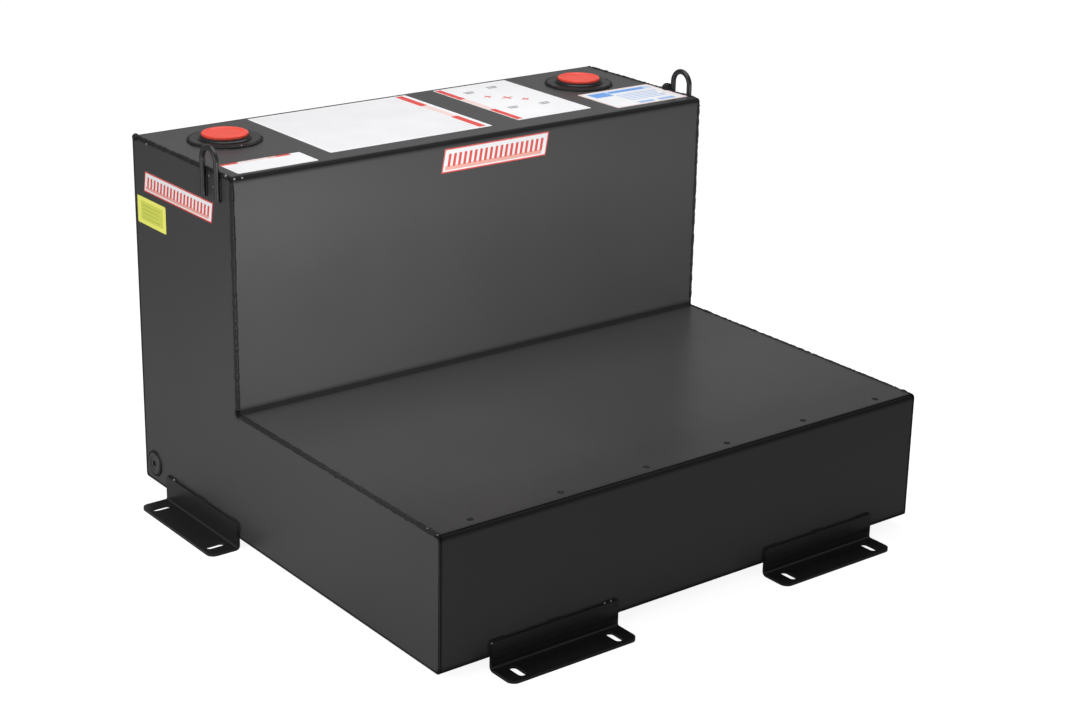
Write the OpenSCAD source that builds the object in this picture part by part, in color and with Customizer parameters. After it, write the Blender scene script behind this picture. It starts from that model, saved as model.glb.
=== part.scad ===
// Truck bed transfer tank: an L shaped tank of folded and welded sheet steel.
// A low deck lies in front and a tall tower stands behind it. Two screwed ports are
// on top, four angle feet carry the tank and two bar loops lift it.
// X runs across the truck bed, Y from the front wall to the back and Z up. The origin
// is on the floor, below the middle of the overall box. Sizes are in millimetres.

/* [Tank body] */
// Width of the tank across the truck bed
tank_w = 976; // [820:1:1400]
// Depth of the low deck, from the front wall to the riser
deck_depth = 570; // [350:1:800]
// Depth of the tower, from the riser to the back wall
tower_depth = 328; // [300:1:480]
// Height of the deck above the tank bottom
deck_h = 222; // [120:1:350]
// Height of the tower above the tank bottom
tower_h = 618; // [450:1:800]

/* [Sheet metal] */
// Thickness of the two folded sheets
sheet_t = 2; // [1.5:0.1:3]
// Thickness of the end panels
end_t = 2.5; // [1.5:0.1:5]
// Outside radius of the sheets' bends
bend_r = 6; // [4:0.5:10]
// Width of the flanges turned in under the deck and the top plate
flange_w = 48; // [30:1:80]
// Number of plug welds along the deck's front edge
plug_weld_n = 6; // [2:1:10]
// Distance between plug welds
plug_weld_pitch = 167; // [60:1:180]
// Diameter of a plug weld
plug_weld_d = 11; // [6:0.5:16]
// Depth of the sink mark of a plug weld
plug_weld_sink = 0.6; // [0.2:0.1:1]

/* [Baffles] */
// Thickness of the baffles
baffle_t = 2; // [1.5:0.1:4]
// Width of the foot turned out along the bottom of a baffle
baffle_foot_w = 22; // [15:1:40]
// Diameter of the holes that let fuel pass through a baffle
flow_hole_d = 110; // [60:1:130]
// Radius of the notches that let fuel pass at a baffle's corners
notch_r = 22; // [14:1:40]
// Gap between a baffle and the sheet along its other edges
baffle_gap = 0.5; // [0.2:0.1:0.9]

/* [Feet] */
// Length of each angle foot along its wall
foot_len = 243; // [200:1:300]
// How far a foot reaches out from the wall
foot_reach = 56; // [50:1:80]
// Thickness of the feet
foot_t = 5; // [3:0.5:6]
// Clear height between a foot's upper face and the tank bottom
foot_gap = 15; // [8:1:40]
// How far a foot's web rises up the wall above the tank bottom
web_rise = 28; // [20:1:60]
// Outside radius of the bend between web and foot
foot_bend_r = 8; // [7:0.5:10]
// Radius of the foot's outer corners
foot_corner_r = 14; // [4:1:18]
// Radius of the web's upper corners
web_corner_r = 6; // [2:1:15]
// Width of the bolt slots
slot_w = 14; // [8:0.5:16]
// Length of the bolt slots from end to end
slot_len = 34; // [20:1:34]
// Distance between the two slots of a foot
slot_pitch = 185; // [120:1:190]
// Distance from the wall to the middle of a slot
slot_from_wall = 31; // [29:1:33]
// Distance from the tank's end to the middle of a front foot
front_foot_from_end = 212; // [150:1:260]
// Distance from the back wall to the middle of an end foot
end_foot_from_back = 203; // [160:1:260]

/* [Lifting loops] */
// Diameter of the round bar
loop_bar_d = 9.5; // [8:0.5:14]
// Distance between the legs of a loop, centre to centre
loop_pitch = 44; // [36:1:60]
// Height of the loop's top above the tank top
loop_rise = 43; // [36:1:60]
// How far the legs run down below the tank top
loop_leg = 45; // [30:1:50]
// Distance from the riser to the middle of a loop
loop_from_riser = 58; // [40:1:90]
// Gap between the bar and the end panel, bridged by the weld
loop_gap = 0.3; // [0.1:0.1:0.5]

/* [Ports] */
// Distance from the tank's end to the middle of a port
port_from_end = 112; // [90:1:120]
// Distance from the back wall to the middle of a port
port_from_back = 114; // [100:1:130]
// Diameter of the thread bore, 2 inch pipe thread
port_bore_d = 59.4; // [40:0.1:62]
// Diameter of the welded flange
port_flange_d = 118; // [110:1:130]
// Thickness of the welded flange
port_flange_t = 4; // [3:0.5:10]
// Diameter of the collar
collar_d = 90; // [84:1:100]
// Height of the collar above the flange
collar_h = 3; // [2:0.5:12]
// Diameter of the spigot that hangs through the top plate
spigot_d = 76; // [68:1:80]
// Length of the spigot below the top plate
spigot_len = 12; // [5:1:30]
// Clearance round a spigot in its sheet, on the radius
spigot_gap = 0.4; // [0.2:0.1:0.8]

/* [Port plugs] */
// Diameter of the plug's head
plug_head_d = 79; // [72:1:84]
// Thickness of the plug's head
plug_head_t = 5; // [4:0.5:12]
// Radius of the head's edges
plug_edge_r = 1.2; // [0.5:0.1:1.5]
// Diameter of the dished middle of the head
plug_dish_d = 64; // [40:1:68]
// Depth of the dish
plug_dish_depth = 1; // [0.5:0.1:2]
// Number of grip ribs round the head
grip_n = 48; // [12:1:60]
// Radius of a grip rib
grip_r = 1.2; // [0.8:0.1:2]
// How far the grip ribs stand out
grip_out = 0.8; // [0.3:0.1:1]
// Distance between a grip rib's end and the head's round edge
grip_inset = 0.3; // [0.1:0.1:0.4]
// Wall of the hollow threaded shank
plug_wall = 4; // [3:0.1:6]
// Length of the shank below the seal
plug_engage = 17; // [8:0.5:17.5]
// Clearance of a plug in its thread bore, on the radius
thread_gap = 0.1; // [0.05:0.01:0.1]
// Diameter of the seal ring
seal_d = 84; // [76:1:88]
// Thickness of the seal ring
seal_t = 1.5; // [1:0.1:3]
// Clearance of the seal ring round the shank, on the radius
seal_gap = 0.4; // [0.3:0.1:1]

/* [Drain] */
// Distance from the back wall to the middle of the drain
drain_from_back = 34; // [30:1:60]
// Height of the drain's middle above the tank bottom
drain_up = 34; // [30:1:60]
// Outside diameter of the drain boss
drain_d = 40; // [38:1:44]
// How far the boss stands out of the end panel
drain_out = 3; // [2:0.5:12]
// Diameter of the boss's spigot through the end panel
drain_spigot_d = 33; // [30:0.5:35]
// How far the spigot reaches into the tank
drain_in = 11; // [8:0.5:20]
// Diameter of the drain's thread bore, 3/4 inch pipe thread
drain_bore_d = 25.4; // [20:0.1:27]
// Length of the drain plug
drain_plug_len = 15; // [12:0.5:18]
// Depth of the plug's face below the boss's face
drain_plug_sink = 1; // [0.5:0.1:2]
// Width of the drain plug's square socket
drain_drive_w = 9.5; // [8:0.1:12.7]
// Depth of the drain plug's square socket
drain_drive_depth = 8; // [5:0.5:10]

/* [Labels] */
// Thickness of the stuck-on labels
label_t = 0.3; // [0.2:0.1:0.5]
// Radius of the labels' corners
label_r = 3; // [1:0.5:8]
// Distance from the back wall to the large label and the diagram label
label_from_back = 14; // [12:1:25]
// Distance from the riser to the large label
main_label_from_riser = 45; // [15:1:80]
// Distance from the fill port's flange to the large label
main_label_port_gap = 41.5; // [10:0.5:60]
// Distance between the large label and the diagram label
label_pair_gap = 61; // [10:1:90]
// Width of the diagram label on top
diagram_label_w = 163; // [80:1:180]
// Distance from the riser to the diagram label
diagram_label_from_riser = 52; // [15:1:80]
// Distance from the diagram label to the pump port's flange
diagram_label_port_gap = 40.5; // [10:0.5:60]
// Width of the narrow label in front of the fill port
fill_label_w = 149; // [60:1:160]
// Depth of the narrow label in front of the fill port
fill_label_d = 62; // [30:1:90]
// Distance from the tank's end to the fill label
fill_label_from_end = 23; // [15:1:50]
// Distance from the riser to the fill label
fill_label_from_riser = 16; // [8:1:40]
// Width of the label in front of the pump port
pump_label_w = 165; // [60:1:170]
// Distance from the tank's end to the pump label
pump_label_from_end = 7; // [5:1:20]
// Distance from the riser to the pump label
pump_label_from_riser = 25; // [8:1:60]
// Distance from the pump label to the pump port's flange
pump_label_port_gap = 12.5; // [4:0.5:40]
// Slant of the strip labels' ends, in degrees
strip_slant = 10; // [0:1:25]
// Length of the strip label on the riser
riser_strip_w = 220; // [100:1:300]
// Height of the strip label on the riser
riser_strip_h = 41.5; // [20:0.5:60]
// Distance from the tank's middle to the middle of the riser strip, to the right
riser_strip_right = 27; // [0:1:150]
// Distance from the tank top to the upper edge of the riser strip
riser_strip_down = 12.5; // [12:0.5:60]
// Length of the strip label on the left end
end_strip_w = 228; // [100:1:235]
// Height of the strip label on the left end
end_strip_h = 35.5; // [20:0.5:45]
// Distance from the back wall to the lower back corner of the end strip
end_strip_from_back = 35; // [20:1:60]
// Distance from the tank top to the upper edge of the end strip
end_strip_down = 54; // [51:1:64]
// Width of the small yellow label
yellow_label_w = 98; // [50:1:120]
// Height of the small yellow label
yellow_label_h = 47; // [20:1:60]
// Distance from the back wall to the back edge of the yellow label
yellow_label_from_back = 10; // [8:1:60]
// Distance from the tank top to the upper edge of the yellow label
yellow_label_down = 101; // [98:1:150]

/* [Hidden] */
$fn = 96;

// Paint and label colours
paint = [0.07, 0.07, 0.075];
bare_steel = [0.45, 0.46, 0.47];
plug_red = [0.85, 0.1, 0.08];
seal_black = [0.03, 0.03, 0.03];
label_white = [0.95, 0.95, 0.95];
label_yellow = [0.95, 0.9, 0.2];

// Overrun of cutting shapes past the faces they cut
over = 1;
// The tank's whole depth, and the bends' inside radius
depth = deck_depth + tower_depth;
bend_in_r = bend_r - sheet_t;
// The front wall's place, with the overall box centred, and the tank bottom's height
front_y = (foot_reach - depth) / 2;
base_z = foot_gap + foot_t;
// The sheets run between the end panels
sheet_w = tank_w - 2 * end_t;
// The inner faces of the bottom, the riser, the deck and the top plate
riser_in = deck_depth + sheet_t;
deck_under = deck_h - sheet_t;
top_under = tower_h - sheet_t;
// The baffles part the tank into three equal bays
baffle_x = tank_w / 6;
baffle_edge = sheet_t + baffle_gap;
flange_clear = flange_w + baffle_gap;
// The ports' middles, and the heights of collar and seal above the tank top
port_x = tank_w / 2 - port_from_end;
port_y = depth - port_from_back;
collar_top = port_flange_t + collar_h;
seal_top = collar_top + seal_t;
plug_shank_r = port_bore_d / 2 - thread_gap;
// The labels between the ports, by their edges, and the widths and depths that follow
diagram_label_x1 = port_x - port_flange_d / 2 - diagram_label_port_gap;
diagram_label_x0 = diagram_label_x1 - diagram_label_w;
diagram_label_d = tower_depth - label_from_back - diagram_label_from_riser;
main_label_x0 = main_label_port_gap + port_flange_d / 2 - port_x;
main_label_w = diagram_label_x0 - label_pair_gap - main_label_x0;
main_label_d = tower_depth - label_from_back - main_label_from_riser;
// The pump label reaches up to its port's flange
pump_label_y0 = deck_depth + pump_label_from_riser;
pump_label_d = port_y - port_flange_d / 2 - pump_label_port_gap - pump_label_y0;
// The lifting loops' middle and the height of the bend's centre above the tank top
loop_y = deck_depth + loop_from_riser;
loop_x = tank_w / 2 + loop_gap + loop_bar_d / 2;
loop_centre_up = loop_rise - (loop_bar_d + loop_pitch) / 2;
// The drain's middle
drain_y = depth - drain_from_back;

// Moves a shape from tank coordinates, Y from the front wall and Z from the tank
// bottom, to the part's origin
module in_tank() {
    translate([0, front_y, base_z]) children();
}

// Extrudes a side view, drawn as Y and Z, across the tank over a width about x
module across(x, width) {
    translate([x - width / 2, 0, 0])
        rotate([90, 0, 90])
            linear_extrude(width) children();
}

// Rectangle from one corner to the opposite one
module strip(y0, z0, y1, z1) {
    translate([y0, z0]) square([y1 - y0, z1 - z0]);
}

// Quarter ring of a bend about a centre, turned in steps of 90 degrees from the
// upper right quarter
module quarter_bend(y, z, turns, outer_r, inner_r) {
    translate([y, z])
        rotate(90 * turns)
            intersection() {
                difference() {
                    circle(outer_r);
                    circle(inner_r);
                }
                square(outer_r + over);
            }
}

module sheet_bend(y, z, turns) {
    quarter_bend(y, z, turns, bend_r, bend_in_r);
}

// Rectangle with round corners, its lower left corner at the origin
module rounded_rect(width, height, r) {
    translate([r, 0]) square([width - 2 * r, height]);
    translate([0, r]) square([width, height - 2 * r]);
    for (y = [r, width - r], z = [r, height - r])
        translate([y, z]) circle(r);
}

// Slot with round ends that runs along Y, cut down through a plate
module slot_cut() {
    linear_extrude(foot_t + 2 * over) {
        square([slot_w, slot_len - slot_w], center = true);
        for (side = [-1, 1])
            translate([0, side * (slot_len - slot_w) / 2]) circle(slot_w / 2);
    }
}

// Side view of the sheet that makes front wall, bottom and back wall
module base_profile() {
    strip(bend_r, deck_under - sheet_t, flange_w, deck_under);
    sheet_bend(bend_r, deck_under - bend_r, 1);
    strip(0, bend_r, sheet_t, deck_under - bend_r);
    sheet_bend(bend_r, bend_r, 2);
    strip(bend_r, 0, depth - bend_r, sheet_t);
    sheet_bend(depth - bend_r, bend_r, 3);
    strip(depth - sheet_t, bend_r, depth, top_under - bend_r);
    sheet_bend(depth - bend_r, top_under - bend_r, 0);
    strip(depth - flange_w, top_under - sheet_t, depth - bend_r, top_under);
}

// Side view of the sheet that makes deck, riser and top plate
module cover_profile() {
    strip(bend_r, deck_under, deck_depth - bend_in_r, deck_h);
    sheet_bend(deck_depth - bend_in_r, deck_h + bend_in_r, 3);
    strip(deck_depth, deck_h + bend_in_r, riser_in, tower_h - bend_r);
    sheet_bend(deck_depth + bend_r, tower_h - bend_r, 1);
    strip(deck_depth + bend_r, top_under, depth - bend_r, tower_h);
}

// Side view of the whole tank, filled
module end_profile() {
    rounded_rect(depth, deck_h, bend_r);
    translate([deck_depth, 0]) rounded_rect(tower_depth, tower_h, bend_r);
    difference() {
        strip(deck_depth - bend_in_r, deck_h - bend_r, riser_in, deck_h + bend_in_r);
        translate([deck_depth - bend_in_r, deck_h + bend_in_r]) circle(bend_in_r);
    }
}

// Side view of a baffle, above the bend of its foot
module baffle_profile() {
    difference() {
        union() {
            strip(baffle_edge, sheet_t + bend_r, depth - baffle_edge, deck_under - baffle_gap);
            strip(riser_in + baffle_gap, sheet_t + bend_r, depth - baffle_edge, top_under - baffle_gap);
        }
        // Passages at the corners, which also clear the sheets' bends
        for (y = [0, depth]) translate([y, 0]) circle(notch_r);
        translate([riser_in, top_under]) circle(notch_r);
        // Room for the turned-in flanges
        strip(-over, deck_under - sheet_t - baffle_gap, flange_clear, deck_h);
        strip(depth - flange_clear, top_under - sheet_t - baffle_gap, depth + over, tower_h);
        // Flow holes, two in the deck part and two in the tower part
        for (y = [deck_depth / 3, deck_depth * 2 / 3])
            translate([y, deck_h / 2]) circle(flow_hole_d / 2);
        for (z = [deck_h, tower_h - (tower_h - deck_h) / 3])
            translate([deck_depth + tower_depth / 2, z]) circle(flow_hole_d / 2);
    }
}

// Baffle left of the middle, with its foot turned out towards the middle
module baffle() {
    color(bare_steel) in_tank() {
        across(-baffle_x, baffle_t) baffle_profile();
        translate([-baffle_x - baffle_t / 2, depth - notch_r, sheet_t])
            rotate([90, 0, 0])
                linear_extrude(depth - 2 * notch_r) {
                    quarter_bend(bend_r, bend_r, 2, bend_r, bend_r - baffle_t);
                    strip(bend_r, 0, baffle_foot_w, baffle_t);
                }
    }
}

// L shaped end plate, its inner face at x = 0
module end_panel() {
    across(end_t / 2, end_t) end_profile();
}

// Angle foot along X, with its wall at y = 0 and its underside at z = 0
module angle_foot() {
    web_h = base_z + web_rise;
    half = foot_len / 2;
    color(paint) difference() {
        union() {
            // Web up the wall
            translate([0, 0, foot_bend_r])
                rotate([90, 0, 0])
                    linear_extrude(foot_t) {
                        strip(-half, 0, half, web_h - foot_bend_r - web_corner_r);
                        strip(web_corner_r - half, 0, half - web_corner_r, web_h - foot_bend_r);
                        for (side = [-1, 1])
                            translate([side * (half - web_corner_r), web_h - foot_bend_r - web_corner_r])
                                circle(web_corner_r);
                    }
            // Bend at the heel
            across(0, foot_len)
                quarter_bend(-foot_bend_r, foot_bend_r, 3, foot_bend_r, foot_bend_r - foot_t);
            // Foot plate on the floor
            linear_extrude(foot_t) {
                strip(-half, foot_corner_r - foot_reach, half, -foot_bend_r);
                strip(foot_corner_r - half, -foot_reach, half - foot_corner_r, -foot_bend_r);
                for (side = [-1, 1])
                    translate([side * (half - foot_corner_r), foot_corner_r - foot_reach])
                        circle(foot_corner_r);
            }
        }
        for (side = [-1, 1])
            translate([side * slot_pitch / 2, -slot_from_wall, -over]) slot_cut();
    }
}

// Foot under the front wall, on one side of the middle
module front_foot(side) {
    translate([side * (tank_w / 2 - front_foot_from_end), front_y, 0]) angle_foot();
}

// Foot at one end of the tank
module end_foot(side) {
    translate([side * tank_w / 2, front_y + depth - end_foot_from_back, 0])
        rotate([0, 0, side * 90]) angle_foot();
}

// Bent bar welded to an end panel: two legs and a half ring
module lifting_loop(side) {
    color(paint) in_tank() translate([side * loop_x, loop_y, tower_h + loop_centre_up]) {
        rotate([90, 0, 90])
            rotate_extrude(angle = 180) translate([loop_pitch / 2, 0]) circle(loop_bar_d / 2);
        for (leg = [-1, 1])
            translate([0, leg * loop_pitch / 2, -loop_centre_up - loop_leg])
                cylinder(h = loop_centre_up + loop_leg, d = loop_bar_d);
    }
}

// Moves a shape to the middle of a port, with z = 0 on the top plate
module at_port(side) {
    in_tank() translate([side * port_x, port_y, tower_h]) children();
}

// Welded port flange with collar and spigot, turned in one piece
module port_fitting(side) {
    bore_r = port_bore_d / 2;
    spigot_end = -sheet_t - spigot_len;
    edge = 1.5;
    color(paint) at_port(side)
        rotate_extrude()
            polygon([
                [bore_r, spigot_end],
                [spigot_d / 2, spigot_end],
                [spigot_d / 2, 0],
                [port_flange_d / 2, 0],
                [port_flange_d / 2, port_flange_t],
                [collar_d / 2, port_flange_t],
                [collar_d / 2, collar_top - edge],
                [collar_d / 2 - edge, collar_top],
                [bore_r, collar_top]
            ]);
}

// Flat seal ring between collar and plug head
module plug_seal(side) {
    color(seal_black) at_port(side)
        translate([0, 0, collar_top])
            difference() {
                cylinder(h = seal_t, d = seal_d);
                translate([0, 0, -over])
                    cylinder(h = seal_t + 2 * over, r = plug_shank_r + seal_gap);
            }
}

// Moulded port plug: a dished head with round edges and grip ribs, and a hollow
// threaded shank
module port_plug(side) {
    head_r = plug_head_d / 2 - grip_out;
    dish_r = plug_dish_d / 2;
    dish_z = plug_head_t - plug_dish_depth;
    grip_z = plug_edge_r + grip_inset;
    color(plug_red) at_port(side) translate([0, 0, seal_top]) {
        rotate_extrude() {
            difference() {
                union() {
                    strip(0, 0, head_r - plug_edge_r, plug_head_t);
                    strip(0, plug_edge_r, head_r, plug_head_t - plug_edge_r);
                    for (z = [plug_edge_r, plug_head_t - plug_edge_r])
                        translate([head_r - plug_edge_r, z]) circle(plug_edge_r);
                }
                polygon([
                    [0, dish_z],
                    [dish_r - plug_dish_depth, dish_z],
                    [dish_r, plug_head_t],
                    [dish_r, plug_head_t + over],
                    [0, plug_head_t + over]
                ]);
            }
            strip(plug_shank_r - plug_wall, -seal_t - plug_engage, plug_shank_r, over);
        }
        for (i = [0 : grip_n - 1])
            rotate(i * 360 / grip_n)
                translate([plug_head_d / 2 - grip_r, 0, grip_z])
                    cylinder(h = plug_head_t - 2 * grip_z, r = grip_r);
    }
}

// Turns a shape whose Z points outwards to the middle of the drain
module at_drain() {
    in_tank() translate([-tank_w / 2, drain_y, drain_up]) rotate([0, -90, 0]) children();
}

// Half coupling welded into the left end panel
module drain_boss() {
    edge = 1.5;
    color(paint) at_drain()
        rotate_extrude()
            polygon([
                [drain_bore_d / 2, -end_t - drain_in],
                [drain_spigot_d / 2, -end_t - drain_in],
                [drain_spigot_d / 2, 0],
                [drain_d / 2, 0],
                [drain_d / 2, drain_out - edge],
                [drain_d / 2 - edge, drain_out],
                [drain_bore_d / 2, drain_out]
            ]);
}

// Threaded plug with a square socket
module drain_plug() {
    color(paint) at_drain()
        translate([0, 0, drain_out - drain_plug_sink - drain_plug_len])
            difference() {
                cylinder(h = drain_plug_len, r = drain_bore_d / 2 - thread_gap);
                translate([0, 0, drain_plug_len - drain_drive_depth / 2 + over / 2])
                    cube([drain_drive_w, drain_drive_w, drain_drive_depth + over], center = true);
            }
}

// Thin label plate, its lower left corner at the origin
module label(width, height) {
    linear_extrude(label_t) rounded_rect(width, height, label_r);
}

// Label on the top plate, given by its left and front edges
module top_label(x0, y0, width, height) {
    in_tank() translate([x0, y0, tower_h]) label(width, height);
}

// How far the upper edge of a slanted label is shifted from its lower edge
function lean(height) = height * tan(strip_slant);

// Label whose ends slant to the right, its lower left corner at the origin
module slanted_label(width, height) {
    linear_extrude(label_t)
        polygon([[0, 0], [width, 0], [width + lean(height), height], [lean(height), height]]);
}

// Places a label on the left end panel, by its distances from the back and the tank top
module on_left_end(from_back, down, height) {
    in_tank() translate([-tank_w / 2, depth - from_back, tower_h - down - height])
        rotate([90, 0, -90]) children();
}

module base_sheet() {
    color(paint) in_tank() across(0, sheet_w) base_profile();
}

module cover_sheet() {
    color(paint) difference() {
        in_tank() across(0, sheet_w) cover_profile();
        for (side = [-1, 1])
            at_port(side) translate([0, 0, -sheet_t - over])
                cylinder(h = sheet_t + 2 * over, r = spigot_d / 2 + spigot_gap);
        // Sink marks of the plug welds that hold the deck to the flange below it
        in_tank() translate([0, flange_w / 2, deck_h - plug_weld_sink])
            for (i = [0 : plug_weld_n - 1])
                translate([(i - (plug_weld_n - 1) / 2) * plug_weld_pitch, 0, 0])
                    cylinder(h = plug_weld_sink + over, d = plug_weld_d);
    }
}

module left_end_panel() {
    color(paint) difference() {
        in_tank() translate([-tank_w / 2, 0, 0]) end_panel();
        at_drain() translate([0, 0, -end_t - over])
            cylinder(h = end_t + 2 * over, r = drain_spigot_d / 2 + spigot_gap);
    }
}

module right_end_panel() {
    color(paint) in_tank() translate([tank_w / 2 - end_t, 0, 0]) end_panel();
}

module main_label() {
    y0 = deck_depth + main_label_from_riser;
    color(label_white) top_label(main_label_x0, y0, main_label_w, main_label_d);
}

module diagram_label() {
    y0 = deck_depth + diagram_label_from_riser;
    color(label_white) top_label(diagram_label_x0, y0, diagram_label_w, diagram_label_d);
}

module fill_label() {
    x0 = fill_label_from_end - tank_w / 2;
    y0 = deck_depth + fill_label_from_riser;
    color(label_white) top_label(x0, y0, fill_label_w, fill_label_d);
}

module pump_label() {
    x0 = tank_w / 2 - pump_label_from_end - pump_label_w;
    color(label_white) top_label(x0, pump_label_y0, pump_label_w, pump_label_d);
}

module riser_strip() {
    x0 = riser_strip_right - (riser_strip_w + lean(riser_strip_h)) / 2;
    z0 = tower_h - riser_strip_down - riser_strip_h;
    color(label_white) in_tank() translate([x0, deck_depth, z0])
        rotate([90, 0, 0]) slanted_label(riser_strip_w, riser_strip_h);
}

module end_strip() {
    color(label_white) on_left_end(end_strip_from_back, end_strip_down, end_strip_h)
        slanted_label(end_strip_w, end_strip_h);
}

module yellow_label() {
    color(label_yellow) on_left_end(yellow_label_from_back, yellow_label_down, yellow_label_h)
        label(yellow_label_w, yellow_label_h);
}

base_sheet();
cover_sheet();
left_end_panel();
right_end_panel();
baffle();  // left_baffle
mirror([1, 0, 0]) baffle();  // right_baffle
front_foot(-1);  // front_left_foot
front_foot(1);  // front_right_foot
end_foot(-1);  // left_end_foot
end_foot(1);  // right_end_foot
lifting_loop(-1);  // left_lifting_loop
lifting_loop(1);  // right_lifting_loop
port_fitting(-1);  // fill_port_fitting
port_fitting(1);  // pump_port_fitting
plug_seal(-1);  // fill_plug_seal
plug_seal(1);  // pump_plug_seal
port_plug(-1);  // fill_port_plug
port_plug(1);  // pump_port_plug
drain_boss();
drain_plug();
main_label();
diagram_label();
fill_label();
pump_label();
riser_strip();
end_strip();
yellow_label();
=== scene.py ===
"""Looks of the truck bed transfer tank: black powder coat, weld beads, red port plugs and labels.

Lengths are in metres in the frame's axes: X along the tank, Y to the back, Z up.
Fields printed on the labels are in millimetres from each label's lower left corner.
"""

import math

import bmesh
import bpy
from mathutils import Matrix, Vector


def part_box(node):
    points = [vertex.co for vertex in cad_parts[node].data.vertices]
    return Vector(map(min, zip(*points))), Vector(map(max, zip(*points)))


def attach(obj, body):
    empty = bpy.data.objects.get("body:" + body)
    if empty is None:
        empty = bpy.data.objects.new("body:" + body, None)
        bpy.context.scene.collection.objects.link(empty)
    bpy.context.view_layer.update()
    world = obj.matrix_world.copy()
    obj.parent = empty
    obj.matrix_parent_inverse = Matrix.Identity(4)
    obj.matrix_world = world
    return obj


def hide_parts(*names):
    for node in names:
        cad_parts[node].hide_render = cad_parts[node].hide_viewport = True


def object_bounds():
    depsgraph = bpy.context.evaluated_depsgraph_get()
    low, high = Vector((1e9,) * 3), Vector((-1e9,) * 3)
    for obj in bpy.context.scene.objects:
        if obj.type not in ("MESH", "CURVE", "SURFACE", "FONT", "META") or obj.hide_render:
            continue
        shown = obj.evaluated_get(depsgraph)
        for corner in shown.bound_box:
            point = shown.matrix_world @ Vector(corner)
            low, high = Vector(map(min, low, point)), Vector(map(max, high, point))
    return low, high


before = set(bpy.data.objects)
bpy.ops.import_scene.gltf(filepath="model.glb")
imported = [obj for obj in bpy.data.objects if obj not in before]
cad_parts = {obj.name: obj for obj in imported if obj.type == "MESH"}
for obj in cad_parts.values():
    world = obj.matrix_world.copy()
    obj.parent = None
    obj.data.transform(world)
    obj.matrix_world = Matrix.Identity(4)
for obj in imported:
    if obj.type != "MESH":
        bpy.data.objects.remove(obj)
cad_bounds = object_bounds()

MM = 0.001
MERGE_DISTANCE = 1e-6
X_AXIS = Vector((1, 0, 0))
Y_AXIS = Vector((0, 1, 0))
Z_AXIS = Vector((0, 0, 1))

# The tank's outline seen from its left end: the panel's corners, the riser's face and the deck's top
PANEL_LO, PANEL_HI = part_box("left_end_panel")
RISER_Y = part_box("riser_strip")[1].y
DECK_TOP = 0.242
# The two ends, each with its inward direction along X
SIDES = (("left", 1), ("right", -1))

# Colours, linear
PAINT_BLACK = (0.042, 0.042, 0.043)
# The tank's black darkened: painted shade on the feet, the lifting loops and the port fittings
SHADED_PAINT_BLACK = (0.013, 0.013, 0.014)
# Near-black paint on the weld beads: painted shade for the grooves and undercuts along the seams
SEAM_SHADE_BLACK = (0.016, 0.016, 0.017)
# Bare weld metal, its brightness also a painted highlight at the spatter spots
BARE_STEEL_GLINT = (0.26, 0.255, 0.25)
PLUG_RED = (0.86, 0.075, 0.045)
SEAL_BLACK = (0.012, 0.012, 0.012)
VINYL_WHITE = (0.88, 0.88, 0.89)
VINYL_YELLOW = (0.93, 0.93, 0.17)
PRINT_GREY = (0.82, 0.82, 0.83)
PRINT_DARK = (0.10, 0.10, 0.12)
PRINT_RED = (0.74, 0.060, 0.045)
PRINT_SALMON = (0.84, 0.40, 0.34)
PRINT_PINK = (0.86, 0.66, 0.64)
PRINT_BLUE = (0.15, 0.36, 0.80)
PRINT_MID_BLUE = (0.36, 0.52, 0.84)
PRINT_PALE_BLUE = (0.60, 0.70, 0.86)
PRINT_OLIVE = (0.70, 0.74, 0.11)
PRINT_DARK_OLIVE = (0.58, 0.61, 0.08)
FLOOR_GREY = (0.42, 0.42, 0.42)
WORLD_GREY = (0.28, 0.28, 0.285)
WHITE = (1.0, 1.0, 1.0)


def new_object(name, data):
    """An object at the origin, in the scene."""
    thing = bpy.data.objects.new(name, data)
    bpy.context.scene.collection.objects.link(thing)
    return thing


# Camera

PHOTO_W = 1080
FOCAL_PX = 2154.2
SENSOR_W = 36.0
CAMERA_AZ = math.radians(-37.93)
CAMERA_EL = math.radians(18.91)
CAMERA_ROLL = math.radians(1.14)
CAMERA_DISTANCE = 3.629
CAMERA_ANCHOR = Vector((0, 0, 0.336))
ANCHOR_RIGHT = 0.00967
ANCHOR_UP = 0.03737
CAMERA_SHIFT_Y = -0.05
CAMERA_REACH = 100.0


def add_camera():
    """The photograph's view: a camera placed from an anchor in the tank, and rolled a little."""
    back = Vector((
        math.sin(CAMERA_AZ) * math.cos(CAMERA_EL),
        -math.cos(CAMERA_AZ) * math.cos(CAMERA_EL),
        math.sin(CAMERA_EL)))
    right = Vector((math.cos(CAMERA_AZ), math.sin(CAMERA_AZ), 0))
    up = back.cross(right)
    place = CAMERA_ANCHOR + back * CAMERA_DISTANCE + right * ANCHOR_RIGHT + up * ANCHOR_UP
    tilted_right = right * math.cos(CAMERA_ROLL) + up * math.sin(CAMERA_ROLL)
    tilted_up = up * math.cos(CAMERA_ROLL) - right * math.sin(CAMERA_ROLL)
    turn = Matrix((tilted_right, tilted_up, back)).transposed().to_4x4()
    data = bpy.data.cameras.new("camera")
    data.sensor_width = SENSOR_W
    data.lens = FOCAL_PX * SENSOR_W / PHOTO_W
    data.shift_y = CAMERA_SHIFT_Y
    data.clip_end = CAMERA_REACH
    camera = new_object("camera", data)
    camera.matrix_world = Matrix.Translation(place) @ turn
    bpy.context.scene.camera = camera


# Shader building

def feed(tree, socket, value):
    """Links an input to another node's output or sets it; a colour is set as an opaque one."""
    if isinstance(value, bpy.types.NodeSocket):
        tree.links.new(value, socket)
    elif isinstance(value, tuple):
        socket.default_value = (*value, 1)
    else:
        socket.default_value = value


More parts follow.
